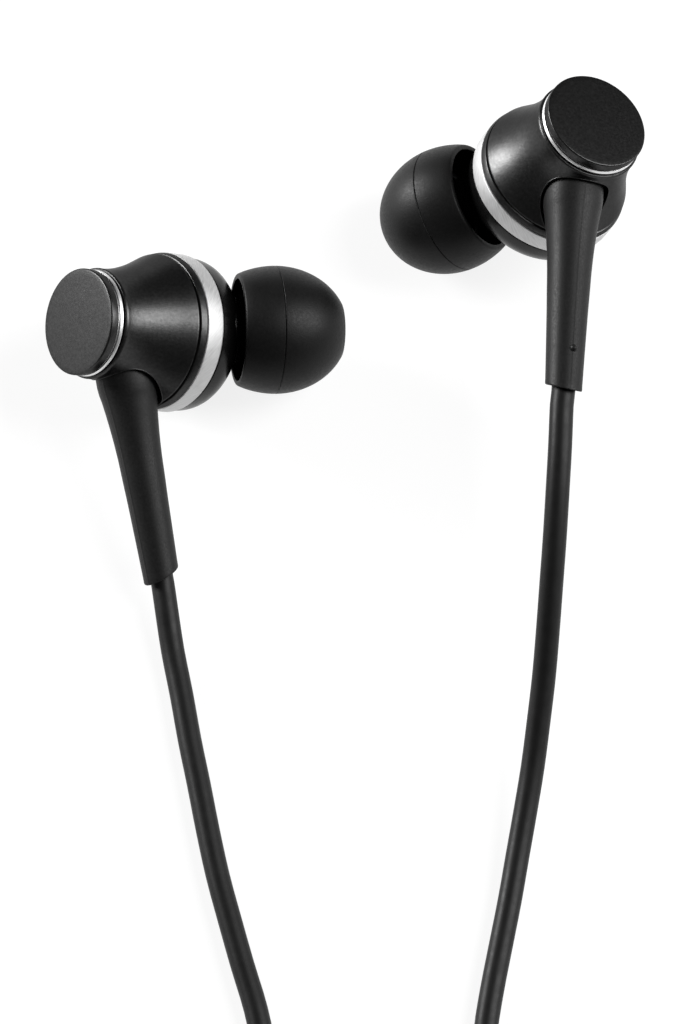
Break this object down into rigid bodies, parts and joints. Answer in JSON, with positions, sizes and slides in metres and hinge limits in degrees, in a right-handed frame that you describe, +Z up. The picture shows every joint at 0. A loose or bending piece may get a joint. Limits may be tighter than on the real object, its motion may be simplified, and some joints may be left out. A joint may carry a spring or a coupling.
{
  "type": "wired in-ear earphones",
  "caption": "Pair of wired in-ear earphones with metal housings, angled nozzles, silicone ear tips, moulded cord boots and a wound cord with a jack plug.",
  "frame": {"origin": "On the table under the middle of the two earpieces, measured without the cord, its coils and the plug.", "axes": "+Z up, -Y towards the viewer and along the cords, +X to the viewer's right, where the wearer's left earpiece lies."},
  "size_m": [0.0785, 0.1607, 0.0236],
  "materials": {
    "anodised_black": "bead-blasted, anodised satin black",
    "brushed_silver": "finely brushed, clear anodised",
    "bright_trim": "diamond-cut and polished",
    "black_plastic": "smooth glossy black",
    "black_silicone": "matte black silicone",
    "black_elastomer": "matte black moulded elastomer",
    "black_cord": "smooth matte black sheath",
    "plated_steel": "plated steel",
    "nickel_magnet": "nickel plated",
    "copper_winding": "enamelled copper wire",
    "polymer_film": "thin formed film",
    "circuit_board": "green solder resist",
    "white_felt": "acoustic felt",
    "gold_contact": "gold plated",
    "tie_strap": "matte black strap"
  },
  "bodies": {
    "earpieces_and_cord": {"left_rear_cap": "anodised_black", "left_cap_trim": "bright_trim", "left_rear_housing": "anodised_black", "left_trim_ring": "brushed_silver", "left_front_housing": "black_plastic", "left_nozzle_mesh": "plated_steel", "left_strain_relief": "black_elastomer", "left_cord_stopper": "plated_steel", "left_terminal_board": "circuit_board", "left_driver_frame": "plated_steel", "left_damping_pad": "white_felt", "left_yoke": "plated_steel", "left_magnet": "nickel_magnet", "left_top_plate": "plated_steel", "left_cord": "black_cord", "left_cord_coil": "black_cord", "left_cord_tail": "black_cord", "right_rear_cap": "anodised_black", "right_cap_trim": "bright_trim", "right_rear_housing": "anodised_black", "right_trim_ring": "brushed_silver", "right_front_housing": "black_plastic", "right_nozzle_mesh": "plated_steel", "right_strain_relief": "black_elastomer", "right_cord_stopper": "plated_steel", "right_terminal_board": "circuit_board", "right_driver_frame": "plated_steel", "right_damping_pad": "white_felt", "right_yoke": "plated_steel", "right_magnet": "nickel_magnet", "right_top_plate": "plated_steel", "right_cord": "black_cord", "right_cord_coil": "black_cord", "right_cord_tail": "black_cord", "y_split": "black_elastomer", "main_cord": "black_cord", "main_cord_coil": "black_cord", "main_cord_tail": "black_cord", "right_coil_tie": "tie_strap", "left_coil_tie": "tie_strap", "main_coil_tie": "tie_strap", "plug_relief": "black_elastomer", "plug_housing": "black_plastic", "plug_sleeve_contact": "gold_contact", "plug_rear_insulator": "black_plastic", "plug_ring_contact": "gold_contact", "plug_front_insulator": "black_plastic", "plug_tip_contact": "gold_contact"},
    "left_tip": {"left_ear_tip": "black_silicone"},
    "right_tip": {"right_ear_tip": "black_silicone"},
    "left_cone": {"left_diaphragm": "polymer_film", "left_voice_coil": "copper_winding"},
    "right_cone": {"right_diaphragm": "polymer_film", "right_voice_coil": "copper_winding"}
  },
  "joints": [
    {"name": "left_tip_pull", "type": "slide", "parent": "earpieces_and_cord", "child": "left_tip", "axis": [-0.8147, -0.1104, -0.5693], "range_m": [0, 0.005]},
    {"name": "left_cone_travel", "type": "slide", "parent": "earpieces_and_cord", "child": "left_cone", "axis": [0.3901, 0.163, 0.9062], "range_m": [-0.0002, 0.0002], "stiffness_N_per_m": 60},
    {"name": "right_tip_pull", "type": "slide", "parent": "earpieces_and_cord", "child": "right_tip", "axis": [0.9815, 0.0704, -0.1781], "range_m": [0, 0.005]},
    {"name": "right_cone_travel", "type": "slide", "parent": "earpieces_and_cord", "child": "right_cone", "axis": [-0.7369, -0.1697, 0.6543], "range_m": [-0.0002, 0.0002], "stiffness_N_per_m": 60}
  ]
}
